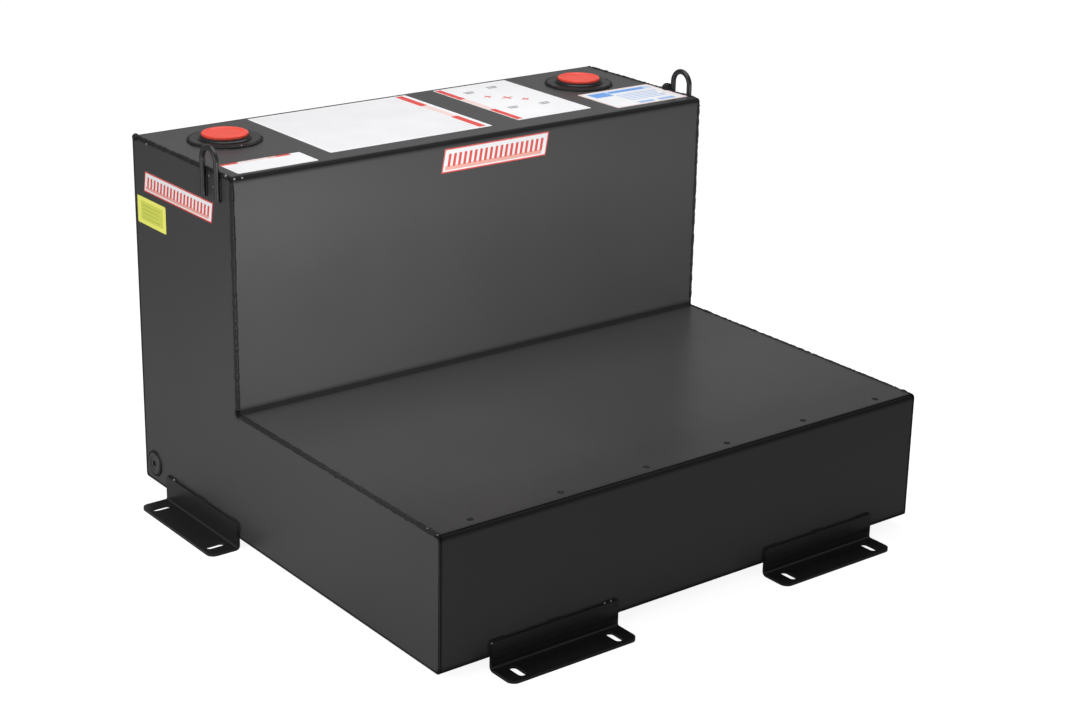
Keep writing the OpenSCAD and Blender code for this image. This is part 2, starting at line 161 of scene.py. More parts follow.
def add(tree, kind, settings=None, **inputs):
    """A node with its settings and inputs.

    An input's key is its name with _ for each space, or i and its number.
    """
    node = tree.nodes.new(kind)
    for key, value in (settings or {}).items():
        setattr(node, key, value)
    for key, value in inputs.items():
        number = key[1:]
        feed(tree, node.inputs[int(number) if number.isdigit() else key.replace("_", " ")], value)
    return node


def new_material(name):
    material = bpy.data.materials.new(name)
    material.use_nodes = True
    return material, material.node_tree


def set_surface(tree, **inputs):
    """Gives the Principled shader its inputs, by their names with _ for each space."""
    shader = tree.nodes["Principled BSDF"]
    for key, value in inputs.items():
        feed(tree, shader.inputs[key.replace("_", " ")], value)


def math_node(tree, operation, *values):
    inputs = {f"i{i}": value for i, value in enumerate(values)}
    return add(tree, "ShaderNodeMath", {"operation": operation}, **inputs).outputs[0]


def remap(tree, value, low, high, to_low, to_high):
    """A value from low to high, drawn to another range and held there."""
    return add(
        tree, "ShaderNodeMapRange", None, Value=value,
        From_Min=low, From_Max=high, To_Min=to_low, To_Max=to_high).outputs["Result"]


def noise(tree, where, scale, detail=2.0, roughness=0.5):
    """Noise from 0 to 1, with about as many grains to the metre as the scale says."""
    return add(
        tree, "ShaderNodeTexNoise", None,
        Vector=where, Scale=scale, Detail=detail, Roughness=roughness).outputs["Fac"]


def patches(tree, where, scale, low, high, detail=3.0, roughness=0.5, contrast=(0.3, 0.7)):
    """A value that drifts between low and high over the surface."""
    return remap(tree, noise(tree, where, scale, detail, roughness), *contrast, low, high)


def bump(tree, height, distance, below=None):
    """A relief of up to a distance in metres, on top of another one where that is given."""
    node = add(tree, "ShaderNodeBump", None, Height=height, Distance=distance)
    if below is not None:
        tree.links.new(below, node.inputs["Normal"])
    return node.outputs["Normal"]


def grain(tree, where, scale, detail, depth):
    """A fine relief all over the surface."""
    return bump(tree, noise(tree, where, scale, detail), depth)


def object_coordinates(tree):
    return add(tree, "ShaderNodeTexCoord").outputs["Object"]


def mix_colours(tree, share, first, second, blend_type="MIX"):
    """The first colour where the share is 0 and the second where it is 1.

    A colour Mix node takes its share at input 0 and its colours at inputs 6 and 7.
    """
    settings = {"data_type": "RGBA", "blend_type": blend_type}
    return add(tree, "ShaderNodeMix", settings, i0=share, i6=first, i7=second).outputs[2]


def shade(tree, colour, amount):
    """A colour times a grey amount."""
    return mix_colours(tree, 1.0, colour, amount, "MULTIPLY")


# Paint, bare metal, plastic and rubber

PAINT_IOR = 1.42
WELD_IOR = 1.22
PLASTIC_IOR = 1.46
WIDE_CONTRAST = (0.2, 0.8)
# How near a bend the painted shade and the dull roughness begin and end, how dark the painted shade gets,
# and how rough the bends are
BEND_INNER = 0.0045
BEND_OUTER = 0.0125
BEND_PAINTED_SHADE = 0.06
BEND_ROUGHNESS = 0.95
NIB_CONTRAST = (0.80, 1.0)
NIB_HEIGHT = 0.0002


def bend_lines():
    """Where the folded sheets turn, as (y, z) of the lines along X."""
    return [
        (PANEL_LO.y, PANEL_LO.z), (PANEL_HI.y, PANEL_LO.z), (PANEL_HI.y, PANEL_HI.z),
        (RISER_Y, PANEL_HI.z), (RISER_Y, DECK_TOP), (PANEL_LO.y, DECK_TOP)]


def distance_to_bends(tree, where):
    """How far a point lies from the nearest bend of the sheets."""
    axes = add(tree, "ShaderNodeSeparateXYZ", None, Vector=where).outputs
    nearest = None
    for y, z in bend_lines():
        across = math_node(tree, "SUBTRACT", axes[1], y)
        above = math_node(tree, "SUBTRACT", axes[2], z)
        sides = add(tree, "ShaderNodeCombineXYZ", None, X=across, Y=above).outputs[0]
        gap = add(tree, "ShaderNodeVectorMath", {"operation": "LENGTH"}, i0=sides).outputs["Value"]
        nearest = gap if nearest is None else math_node(tree, "MINIMUM", nearest, gap)
    return nearest


def powder_coat(name, colour, ior=PAINT_IOR):
    """Glossy black powder coat: orange peel, faint dull patches, dust nibs, duller bends, and painted
    shade that darkens the colour at the bends.
    """
    material, tree = new_material(name)
    where = object_coordinates(tree)
    to_bend = distance_to_bends(tree, where)
    tone = patches(tree, where, scale=5.0, low=0.94, high=1.06, detail=4.0, contrast=WIDE_CONTRAST)
    # Painted shade at the bends: near each bend the colour drops to a few hundredths of itself
    bend_painted_shade = remap(tree, to_bend, BEND_INNER, BEND_OUTER, BEND_PAINTED_SHADE, 1.0)
    dull = patches(
        tree, where, scale=22.0, low=0.28, high=0.34, detail=5.0, roughness=0.6, contrast=WIDE_CONTRAST)
    dull_bend = remap(tree, to_bend, BEND_INNER, BEND_OUTER, BEND_ROUGHNESS, 0.0)
    peel = grain(tree, where, scale=330.0, detail=1.5, depth=0.00009)
    nibs = patches(tree, where, scale=140.0, low=0.0, high=1.0, detail=0.0, contrast=NIB_CONTRAST)
    set_surface(
        tree,
        Base_Color=shade(tree, colour, math_node(tree, "MULTIPLY", tone, bend_painted_shade)),
        Roughness=math_node(tree, "MAXIMUM", dull, dull_bend),
        Normal=bump(tree, nibs, NIB_HEIGHT, below=peel),
        IOR=ior)
    return material


def glinting_bare_metal():
    """Bright weld metal with a little soot, its brightness partly a painted highlight."""
    material, tree = new_material("bare weld metal")
    where = object_coordinates(tree)
    set_surface(
        tree,
        Base_Color=shade(
            tree, BARE_STEEL_GLINT, patches(tree, where, scale=400.0, low=0.75, high=1.1, detail=2.0)),
        Roughness=patches(tree, where, scale=600.0, low=0.3, high=0.5, detail=2.0),
        Metallic=0.6)
    return material


def plug_plastic():
    """Moulded red plastic."""
    material, tree = new_material("red plastic")
    where = object_coordinates(tree)
    set_surface(
        tree,
        Base_Color=shade(tree, PLUG_RED, patches(tree, where, scale=40.0, low=0.93, high=1.05)),
        Roughness=patches(tree, where, scale=90.0, low=0.30, high=0.42),
        Normal=grain(tree, where, scale=900.0, detail=2.0, depth=0.00004),
        IOR=PLASTIC_IOR)
    return material


def seal_rubber():
    """Dull black rubber."""
    material, tree = new_material("black seal rubber")
    where = object_coordinates(tree)
    set_surface(
        tree,
        Base_Color=shade(tree, SEAL_BLACK, patches(tree, where, scale=60.0, low=0.8, high=1.3)),
        Roughness=0.62,
        Normal=grain(tree, where, scale=700.0, detail=2.0, depth=0.00006))
    return material


# Labels

STRIP_LEAN = math.tan(math.radians(10))
STRIP_BARS = 19
# How much the right ends of plain lines differ, as a share of their length
RAGGED_STEP = 0.03
# Where a banded strip changes colour, as shares of the label's height
BAND_CHANGES = (0.34, 0.68)
BAND_FOOT = 6
BAND_HEAD = 4


def field_group():
    """A node group that is 1 inside an upright rectangle and 0 outside it."""
    group = bpy.data.node_groups.new("printed field", "ShaderNodeTree")
    for name in ("U", "V", "Left", "Bottom", "Right", "Top"):
        group.interface.new_socket(name, in_out="INPUT", socket_type="NodeSocketFloat")
    group.interface.new_socket("Inside", in_out="OUTPUT", socket_type="NodeSocketFloat")
    given = group.nodes.new("NodeGroupInput").outputs
    inside = math_node(group, "GREATER_THAN", given["U"], given["Left"])
    other_edges = (("LESS_THAN", "U", "Right"), ("GREATER_THAN", "V", "Bottom"), ("LESS_THAN", "V", "Top"))
    for test, axis, edge in other_edges:
        inside = math_node(group, "MULTIPLY", inside, math_node(group, test, given[axis], given[edge]))
    group.links.new(inside, group.nodes.new("NodeGroupOutput").inputs["Inside"])
    return group


PRINTED_FIELD = field_group()


def label_axes(label):
    """The two axes of a label's plane, and the label's box."""
    lo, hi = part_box(label)
    thin = min(range(3), key=lambda axis: hi[axis] - lo[axis])
    return [axis for axis in range(3) if axis != thin], lo, hi


def label_size(label):
    """Width and height in millimetres; a strip's width is that of its lower edge."""
    (across, upward), lo, hi = label_axes(label)
    width, height = (hi[across] - lo[across]) / MM, (hi[upward] - lo[upward]) / MM
    if label.endswith("_strip"):
        width -= height * STRIP_LEAN
    return width, height


def label_plane(tree, label):
    """The label's own axes in millimetres, from its lower left corner as it is read."""
    (across, upward), lo, hi = label_axes(label)
    axes = add(tree, "ShaderNodeSeparateXYZ", None, Vector=object_coordinates(tree)).outputs
    on_left_end = across == 1
    run = (hi[across], axes[across]) if on_left_end else (axes[across], lo[across])
    u = math_node(tree, "MULTIPLY", math_node(tree, "SUBTRACT", *run), 1 / MM)
    v = math_node(tree, "MULTIPLY", math_node(tree, "SUBTRACT", axes[upward], lo[upward]), 1 / MM)
    if label.endswith("_strip"):
        u = math_node(tree, "SUBTRACT", u, math_node(tree, "MULTIPLY", v, STRIP_LEAN))
    return u, v


def label_vinyl(label, ground, fields):
    """Printed vinyl: plain fields of colour on a ground, with a soft gloss."""
    material, tree = new_material(label.replace("_", " ") + " vinyl")
    u, v = label_plane(tree, label)
    colour = ground
    for left, bottom, right, top, ink in fields:
        field = add(
            tree, "ShaderNodeGroup", {"node_tree": PRINTED_FIELD},
            U=u, V=v, Left=left, Bottom=bottom, Right=right, Top=top)
        colour = mix_colours(tree, field.outputs["Inside"], colour, ink)
    where = object_coordinates(tree)
    set_surface(
        tree,
        Base_Color=shade(tree, colour, patches(tree, where, scale=12.0, low=0.97, high=1.02)),
        Roughness=patches(tree, where, scale=45.0, low=0.34, high=0.46),
        Normal=grain(tree, where, scale=260.0, detail=1.0, depth=0.00005))
    return material


def border(width, height, margin, line, ink):
    """Four fields that frame a label at a margin from its edge."""
    inner = margin + line
    return [
        (margin, margin, width - margin, inner, ink),
        (margin, height - inner, width - margin, height - margin, ink),
        (margin, margin, inner, height - margin, ink),
        (width - inner, margin, width - margin, height - margin, ink)]


def plain_lines(left, right, bottom, top, pitch, thickness, ink):
    """Plain lines one under the other, with uneven right ends."""
    fields = []
    for i in range(int((top - bottom) / pitch)):
        foot = top - (i + 1) * pitch
        shortfall = (i * 7 % 5) * RAGGED_STEP * (right - left)
        fields.append((left, foot, right - shortfall, foot + thickness, ink))
    return fields


def bar_row(left, bottom, height, bar, count, ink):
    """Plain upright bars, as wide as the gaps between them."""
    starts = [left + 2 * bar * i for i in range(count)]
    return [(start, bottom, start + bar, bottom + height, ink) for start in starts]


def banded_strip(left, right, height, ink, pale):
    """A strip up a label in three lengths: ink, pale and ink."""
    lower, upper = (height * share for share in BAND_CHANGES)
    return [
        (left, BAND_FOOT, right, lower, ink),
        (left, lower, right, upper, pale),
        (left, upper, right, height - BAND_HEAD, ink)]


def main_label_fields():
    """A pale grey field, with a banded strip on its right."""
    width, height = label_size("main_label")
    margin = 7
    strip_left, strip_right = width - 24, width - 9
    return (
        [(margin, margin, strip_left - 1, height - margin, PRINT_GREY)]
        + banded_strip(strip_left, strip_right, height, PRINT_RED, PRINT_PINK))


def diagram_label_fields():
    """A banded strip on the left, four pairs of dark bars and three red crosses."""
    bar_pairs = ((109, 226), (48, 213), (117, 77), (50, 81))
    crosses = ((58, 170, 8), (84, 146, 12), (106, 120, 8))
    bar_reach, bar_near, bar_far, short_by, line_half = 11, 2, 6, 3, 2
    fields = banded_strip(2, 15, label_size("diagram_label")[1], PRINT_RED, PRINT_PINK)
    for u, v in bar_pairs:
        fields += [
            (u - bar_reach, v + bar_near, u + bar_reach, v + bar_far, PRINT_DARK),
            (u - bar_reach, v - bar_far, u + bar_reach - short_by, v - bar_near, PRINT_DARK)]
    for u, v, reach in crosses:
        fields += [
            (u - reach, v - line_half, u + reach, v + line_half, PRINT_RED),
            (u - line_half, v - reach, u + line_half, v + reach, PRINT_RED)]
    return fields


def fill_label_fields():
    """Four blocks of red and its paler shades along the upper edge."""
    top = label_size("fill_label")[1]
    foot = top - 8
    return [
        (0, foot, 33, top, PRINT_RED),
        (36, foot, 84, top - 1, PRINT_PINK),
        (86, foot, 103, top - 1, PRINT_SALMON),
        (103, foot, 130, top, PRINT_RED)]


def pump_label_fields():
    """A pink border, blue blocks on a pale one, lines and two low blocks."""
    width, height = label_size("pump_label")
    return (
        border(width, height, margin=0.5, line=4, ink=PRINT_PINK)
        + [(12, height - 28, width - 8, height - 9, PRINT_PALE_BLUE),
           (14, height - 40, 54, height - 11, PRINT_BLUE),
           (58, height - 25, width - 24, height - 12, PRINT_BLUE)]
        + plain_lines(58, width - 14, 32, height - 34, pitch=10, thickness=4, ink=PRINT_MID_BLUE)
        + [(left, 8, right, 20, PRINT_MID_BLUE) for left, right in ((60, 96), (106, 144))])


def strip_fields(label):
    """A red outline and a row of plain red bars, with a paler field behind their feet."""
    width, height = label_size(label)
    margin = 10
    bar = (width - 2 * margin) / (2 * STRIP_BARS - 1)
    return (
        border(width, height, margin=0, line=2.2, ink=PRINT_RED)
        + [(margin - 4, 4.5, width - margin, height * 0.28, PRINT_SALMON)]
        + bar_row(margin, height * 0.25, height * 0.52, bar, STRIP_BARS, PRINT_RED))


def yellow_label_fields():
    """An olive field with darker lines on it."""
    width, height = label_size("yellow_label")
    return (
        [(12, 7, width - 10, height - 7, PRINT_OLIVE)]
        + plain_lines(18, width - 18, 9, height - 8, pitch=7, thickness=2.5, ink=PRINT_DARK_OLIVE))


# Threads

PIPE_THREAD_2 = 0.0254 / 11.5
PIPE_THREAD_3_4 = 0.0254 / 14
PLUG_SHANK_R = 0.0296
DRAIN_SHANK_R = 0.0126
# Depth as a share of the pitch, and the share of the pitch that the groove takes
THREAD_DEPTH = 0.55
GROOVE_SHARE = 0.84
ROWS_PER_TURN = 9
RADIUS_TOLERANCE = 0.0001
RING_TOLERANCE = 0.0001
SLOPE_TOLERANCE = 0.01
# The rings' points are sorted from this far before angle zero, where rounding can't part them
SORT_START = 0.01
SHARP_ANGLE = math.radians(35)


def groove(turns):
    """How deep a thread's groove is at a number of turns along it, from 0 at the crest to 1."""
    from_middle = abs(turns % 1.0 - 0.5)
    return max(0.0, 1.0 - 2 * from_middle / GROOVE_SHARE)


def shank_side(shell, centre, axis, radius):
    """The faces of the plain round shank."""
    side = []
    for face in shell.faces:
        offsets = [vert.co - centre for vert in face.verts]
        spans = [(offset - axis * offset.dot(axis)).length for offset in offsets]
        on_shank = all(abs(span - radius) < RADIUS_TOLERANCE for span in spans)
        if on_shank and abs(face.normal.dot(axis)) < SLOPE_TOLERANCE:
            side.append(face)
    return side


def thread_shank(shell, centre, axis, aside, radius, pitch):
    """Turns the plain shank of a plug into a right-hand thread that runs out at both ends.

    Says whether it could, because all of the shank's points have to lie in two rings that match.
    """
    across = axis.cross(aside)
    side = shank_side(shell, centre, axis, radius)
    verts = {vert for face in side for vert in face.verts}
    offsets = {vert: vert.co - centre for vert in verts}
    height = {vert: offset.dot(axis) for vert, offset in offsets.items()}
    angle = {
        vert: math.atan2(offset.dot(across), offset.dot(aside)) for vert, offset in offsets.items()}
    bottom = min(height.values(), default=0.0)
    top = max(height.values(), default=0.0)
    by_angle = sorted(verts, key=lambda vert: (angle[vert] + SORT_START) % (2 * math.pi))
    lower_ring = [vert for vert in by_angle if height[vert] - bottom < RING_TOLERANCE]
    upper_ring = [vert for vert in by_angle if top - height[vert] < RING_TOLERANCE]
    if not verts or not len(lower_ring) == len(upper_ring) == len(verts) / 2:
        return False
    bmesh.ops.delete(shell, geom=side, context="FACES")
    count = round((top - bottom) / pitch * ROWS_PER_TURN)
    rows = [lower_ring]
    for k in range(1, count):
        z = bottom + (top - bottom) * k / count
        run_out = min(1.0, min(z - bottom, top - z) / pitch)
        row = []
        for vert in lower_ring:
            turn = angle[vert]
            cut = THREAD_DEPTH * pitch * run_out * groove(z / pitch - turn / (2 * math.pi))
            outward = aside * math.cos(turn) + across * math.sin(turn)
            row.append(shell.verts.new(centre + outward * (radius - cut) + axis * z))
        rows.append(row)
    rows.append(upper_ring)
    for below, above in zip(rows, rows[1:]):
        for i in range(len(below)):
            shell.faces.new((below[i - 1], below[i], above[i], above[i - 1]))
    return True


def add_threaded_plug(node, body, axis, aside, radius, pitch, finish):
    """A plug with its real thread, in place of the plain one, which stays if it can't be threaded."""
    lo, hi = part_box(node)
    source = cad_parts[node]
    shell = bmesh.new()
    shell.from_mesh(source.data)
    shell.transform(source.matrix_world)
    bmesh.ops.remove_doubles(shell, verts=shell.verts, dist=MERGE_DISTANCE)
    shell.normal_update()
    if not thread_shank(shell, (lo + hi) / 2, axis, aside, radius, pitch):
        shell.free()
        return
    bmesh.ops.recalc_face_normals(shell, faces=shell.faces)
    mesh = bpy.data.meshes.new(f"{node}_threaded")
    shell.to_mesh(mesh)
    shell.free()
    plain_normals = mesh.attributes.get("custom_normal")
    if plain_normals:
        mesh.attributes.remove(plain_normals)
    mesh.shade_smooth()
    mesh.set_sharp_from_angle(angle=SHARP_ANGLE)
    mesh.materials.clear()
    mesh.materials.append(finish)
    piece = new_object(f"{node}_threaded", mesh)
    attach(piece, body)
    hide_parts(node)


# Geometry Nodes

def new_tree(name, inputs, output):
    """An empty Geometry Nodes tree, and its given inputs; each input is a name and a kind."""
    tree = bpy.data.node_groups.new(name, "GeometryNodeTree")
    for label, kind in inputs:
        tree.interface.new_socket(label, in_out="INPUT", socket_type=f"NodeSocket{kind}")
    tree.interface.new_socket(output, in_out="OUTPUT", socket_type="NodeSocketGeometry")
    return tree, tree.nodes.new("NodeGroupInput").outputs


def end_tree(tree, shape, finish):
    """Ends a tree with its shape as real geometry that has a finish."""
    real = add(tree, "GeometryNodeRealizeInstances", None, Geometry=shape).outputs[0]
    done = add(tree, "GeometryNodeSetMaterial", None, Geometry=real, Material=finish).outputs[0]
    tree.links.new(done, tree.nodes.new("NodeGroupOutput").inputs[0])


def smooth(tree, shape):
    """A shape with smooth shading."""
    return add(tree, "GeometryNodeSetShadeSmooth", None, Geometry=shape).outputs[0]


def grow(piece, tree, values):
    """Turns a piece's mesh into what a Geometry Nodes tree makes of it, as a plain closed mesh."""
    modifier = piece.modifiers.new("grow", "NODES")
    modifier.node_group = tree
    for socket in tree.interface.items_tree:
        if socket.in_out == "INPUT" and socket.name in values:
            modifier[socket.identifier] = values[socket.name]
    bpy.context.view_layer.update()
    evaluated = piece.evaluated_get(bpy.context.evaluated_depsgraph_get())
    solid = bpy.data.meshes.new_from_object(evaluated)
    piece.modifiers.remove(modifier)
    piece.data = solid
    shell = bmesh.new()
    shell.from_mesh(solid)
    bmesh.ops.remove_doubles(shell, verts=shell.verts, dist=MERGE_DISTANCE)
    bmesh.ops.recalc_face_normals(shell, faces=shell.faces)
    shell.to_mesh(solid)
    shell.free()


# Weld beads

BEAD_END_SHARE = 0.3
WANDER_SCALE = 120.0


def weld_bead_tree():
    """Turns the edges of a mesh into uneven, rippled beads with a material."""
    inputs = (
        ("Path", "Geometry"), ("Bead Radius", "Float"), ("Ripple Pitch", "Float"),
        ("Ripple Depth", "Float"), ("Unevenness", "Float"), ("End Taper", "Float"),
        ("Point Spacing", "Float"), ("Sides", "Int"), ("Seed", "Float"), ("Finish", "Material"))
    tree, given = new_tree("weld bead", inputs, "Bead")
    curve = add(tree, "GeometryNodeMeshToCurve", None, Mesh=given["Path"]).outputs[0]
    spaced = add(
        tree, "GeometryNodeResampleCurve", {"mode": "LENGTH"},
        Curve=curve, Length=given["Point Spacing"]).outputs[0]
    along = tree.nodes.new("GeometryNodeSplineParameter").outputs["Length"]
    total = tree.nodes.new("GeometryNodeSplineLength").outputs["Length"]
    closed = tree.nodes.new("GeometryNodeInputSplineCyclic").outputs[0]

    ripples = math_node(tree, "DIVIDE", along, given["Ripple Pitch"])
    phase = math_node(tree, "MULTIPLY", ripples, math.pi)
    crest = math_node(tree, "ABSOLUTE", math_node(tree, "SINE", phase))
    trough = math_node(tree, "SUBTRACT", 1.0, crest)
    dip = math_node(tree, "MULTIPLY", trough, given["Ripple Depth"])
    ripple = math_node(tree, "SUBTRACT", 1.0, dip)
    wander = add(
        tree, "ShaderNodeTexNoise", {"noise_dimensions": "4D"},
        W=given["Seed"], Scale=WANDER_SCALE, Detail=1.0).outputs[0]
    centred = math_node(tree, "SUBTRACT", wander, 0.5)
    swing = math_node(tree, "MULTIPLY", centred, given["Unevenness"])
    uneven = math_node(tree, "ADD", 1.0, swing)
    to_end = math_node(tree, "MINIMUM", along, math_node(tree, "SUBTRACT", total, along))
    rise = add(
        tree, "ShaderNodeMapRange", {"interpolation_type": "SMOOTHSTEP"},
        Value=math_node(tree, "DIVIDE", to_end, given["End Taper"]), To_Min=BEAD_END_SHARE)
    taper = math_node(tree, "MAXIMUM", rise.outputs["Result"], closed)
    radius = given["Bead Radius"]
    for factor in (ripple, uneven, taper):
        radius = math_node(tree, "MULTIPLY", radius, factor)

    profile = add(tree, "GeometryNodeCurvePrimitiveCircle", None, Resolution=given["Sides"], Radius=1.0)
    bead = add(
        tree, "GeometryNodeCurveToMesh", None,
        Curve=spaced, Profile_Curve=profile.outputs[0], Scale=radius, Fill_Caps=True).outputs[0]
    end_tree(tree, smooth(tree, bead), given["Finish"])
    return tree


WELD_BEAD = weld_bead_tree()


def weld(name, paths, finish, radius, pitch=0.004, depth=0.28, unevenness=0.5, taper=0.004,
         spacing=0.001, sides=10, seed=0.0):
    """Weld beads along paths, each (points, closed), as one piece that rides the tank."""
    mesh = bpy.data.meshes.new(name)
    corners = []
    edges = []
    for points, closed in paths:
        first = len(corners)
        corners += points
        edges += [(first + i, first + i + 1) for i in range(len(points) - 1)]
        if closed:
            edges.append((first + len(points) - 1, first))
    mesh.from_pydata(corners, edges, [])
    piece = new_object(name, mesh)
    grow(piece, WELD_BEAD, {
        "Bead Radius": radius, "Ripple Pitch": pitch, "Ripple Depth": depth,
        "Unevenness": unevenness, "End Taper": taper, "Point Spacing": spacing,
        "Sides": sides, "Seed": seed, "Finish": finish})
    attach(piece, "tank")


def rounded_outline(corners, radius, steps=5):
    """The closed outline through corners, each turned into an arc, in the plane of its points."""
    points = []
    count = len(corners)
    for i, corner in enumerate(corners):
        before = (corners[i - 1] - corner).normalized()
        after = (corners[(i + 1) % count] - corner).normalized()
        start = corner + before * radius
        end = corner + after * radius
        for k in range(steps + 1):
            t = k / steps
            points.append(start * (1 - t) ** 2 + corner * 2 * t * (1 - t) + end * t ** 2)
    return points


def ring(centre, axis_u, axis_v, radius, count=72):
    """Points round a circle in the plane of two axes."""
    turns = [2 * math.pi * i / count for i in range(count)]
    return [centre + axis_u * radius * math.cos(a) + axis_v * radius * math.sin(a) for a in turns]


# End seams

SEAM_R = 0.0030
SEAM_INSET = 0.0022
SEAM_BACK_INSET = 0.0034
SEAM_CORNER_R = 0.006
RAISED_SEAM_R = 0.0042
RAISED_SEAM_INSET = 0.0024
RAISED_SEAM_FROM_BACK = RAISED_SEAM_R + 0.0008
# How far the raised beads stop short of corners
CORNER_GAP = 0.004
DECK_RUN_GAP = 0.006
RISER_RUN_GAP = 0.008
CORNER_LUMP_R = 0.0070
CORNER_LUMP_LEN = 0.010
CORNER_LUMP_OUT = 0.0006
CORNER_LUMP_SINK = 0.001
CORNER_LUMP_FROM_BACK = 1.1 * CORNER_LUMP_R

SEAM_FRONT = PANEL_LO.y + SEAM_INSET
SEAM_RISER = RISER_Y + SEAM_INSET
SEAM_DECK = DECK_TOP - SEAM_INSET


def weld_low_seam(side, inward, finish):
    """The bead all round an end panel, ground nearly smooth."""
    back = PANEL_HI.y - SEAM_BACK_INSET
    bottom, top = PANEL_LO.z + SEAM_INSET, PANEL_HI.z - SEAM_INSET
    outline = (
        (SEAM_FRONT, bottom), (back, bottom), (back, top),
        (SEAM_RISER, top), (SEAM_RISER, SEAM_DECK), (SEAM_FRONT, SEAM_DECK))
    x = inward * (PANEL_LO.x + SEAM_INSET)
    path = rounded_outline([Vector((x, y, z)) for y, z in outline], SEAM_CORNER_R)
    weld(f"{side}_end_seam_weld", [(path, True)], finish, SEAM_R,
         pitch=0.006, depth=0.05, unevenness=0.12, spacing=0.002)


def weld_raised_seams(side, inward, finish):
    """The beads left standing along the top, down the riser and along the deck."""
    x = inward * (PANEL_LO.x + RAISED_SEAM_INSET)
    top, back = PANEL_HI.z - RAISED_SEAM_INSET, PANEL_HI.y - RAISED_SEAM_FROM_BACK
    deck = DECK_TOP - RAISED_SEAM_INSET
    top_run = [Vector((x, y, top)) for y in (SEAM_RISER + CORNER_GAP, back)]
    riser_run = [
        Vector((x, SEAM_RISER, z)) for z in (PANEL_HI.z - RISER_RUN_GAP, SEAM_DECK + CORNER_GAP)]
    deck_run = [Vector((x, y, deck)) for y in (SEAM_RISER - DECK_RUN_GAP, SEAM_FRONT + CORNER_GAP)]
    weld(f"{side}_end_raised_weld", [(run, False) for run in (top_run, riser_run, deck_run)], finish,
         RAISED_SEAM_R, pitch=0.0042, depth=0.20, unevenness=0.9, spacing=0.0012, seed=50.0 + inward)


def weld_corner_lump(finish):
    """The lump of weld at the left end's upper rear corner."""
    x, z = PANEL_LO.x - CORNER_LUMP_OUT, PANEL_HI.z - CORNER_LUMP_SINK
    back = PANEL_HI.y - CORNER_LUMP_FROM_BACK
    lump = [Vector((x, y, z)) for y in (back - CORNER_LUMP_LEN, back)]
    weld("left_corner_lump", [(lump, False)], finish, CORNER_LUMP_R,
         pitch=0.02, depth=0.1, unevenness=0.5, taper=0.005, seed=61.0)


def weld_end_seams(finish):
    """The seams of both end panels, and the lump at the left one."""
    for side, inward in SIDES:
        weld_low_seam(side, inward, finish)
        weld_raised_seams(side, inward, finish)
    weld_corner_lump(finish)


# Feet

FEET = ("front_left_foot", "front_right_foot", "left_end_foot", "right_end_foot")
FOOT_WELD_R = 0.0028
FOOT_WELD_OUT = 0.001
STITCH_LEN = 0.030
STITCH_DROP = 0.016
FOOT_CORNER_R = 0.006
FOOT_CORNER_STEPS = 4


def foot_stitches(node):
    """Beads round the two top corners of a foot's web on its wall, and one between them."""
    lo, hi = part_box(node)
    along_x = hi.x - lo.x > hi.y - lo.y
    wall = hi.y if along_x else (hi.x if hi.x < 0 else lo.x)
    edge_lo, edge_hi = (lo.x, hi.x) if along_x else (lo.y, hi.y)
    out = -FOOT_WELD_OUT if along_x or hi.x < 0 else FOOT_WELD_OUT

    def at(run, z):
        return Vector((run, wall + out, z)) if along_x else Vector((wall + out, run, z))

    paths = []
    for edge, step in ((edge_lo, 1), (edge_hi, -1)):
        points = [at(edge, hi.z - STITCH_DROP)]
        for k in range(FOOT_CORNER_STEPS + 1):
            turn = math.pi / 2 * k / FOOT_CORNER_STEPS
            run = edge + step * FOOT_CORNER_R * (1 - math.cos(turn))
            points.append(at(run, hi.z - FOOT_CORNER_R * (1 - math.sin(turn))))
        points.append(at(edge + step * STITCH_LEN, hi.z))
        paths.append((points, False))
    middle = (edge_lo + edge_hi) / 2
    paths.append(([at(middle - STITCH_LEN / 2, hi.z), at(middle + STITCH_LEN / 2, hi.z)], False))
    return paths


def weld_feet(finish):
    """The beads that hold the four feet."""
    for seed, node in enumerate(FEET):
        weld(f"{node}_weld", foot_stitches(node), finish, FOOT_WELD_R, pitch=0.003, seed=float(seed))


# Ports, drain and the deck's plug welds

PORT_WELD_R = 0.0036
PORT_WELD_RISE = 0.0005
PORT_WELD_OUT = 0.001
DRAIN_WELD_R = 0.0028
DRAIN_WELD_OUT = 0.0012
PLUG_WELD_R = 0.0017
PLUG_WELD_RINGS = ((0.0036, 24), (0.0015, 12))
PLUG_WELD_PITCH = 0.167
PLUG_WELD_COUNT = 6
PLUG_WELD_FROM_FRONT = 0.024
PLUG_WELD_SINK = 0.0012


def weld_ports(finish):
    """The fillet round each port flange on the top plate."""
    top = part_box("cover_sheet")[1].z
    for seed, port in enumerate(("fill", "pump")):
        lo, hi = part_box(f"{port}_port_fitting")
        centre = Vector(((lo.x + hi.x) / 2, (lo.y + hi.y) / 2, top + PORT_WELD_RISE))
        path = ring(centre, X_AXIS, Y_AXIS, (hi.x - lo.x) / 2 + PORT_WELD_OUT, count=120)
        weld(f"{port}_port_weld", [(path, True)], finish, PORT_WELD_R,
             pitch=0.0036, depth=0.22, unevenness=1.1, seed=10.0 + seed)


def weld_drain(finish):
    """The fillet round the drain boss on the left end."""
    lo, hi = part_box("drain_boss")
    centre = Vector((PANEL_LO.x, (lo.y + hi.y) / 2, (lo.z + hi.z) / 2))
    path = ring(centre, Y_AXIS, Z_AXIS, (hi.y - lo.y) / 2 + DRAIN_WELD_OUT)
    weld("drain_weld", [(path, True)], finish, DRAIN_WELD_R, pitch=0.0026, depth=0.2, seed=30.0)


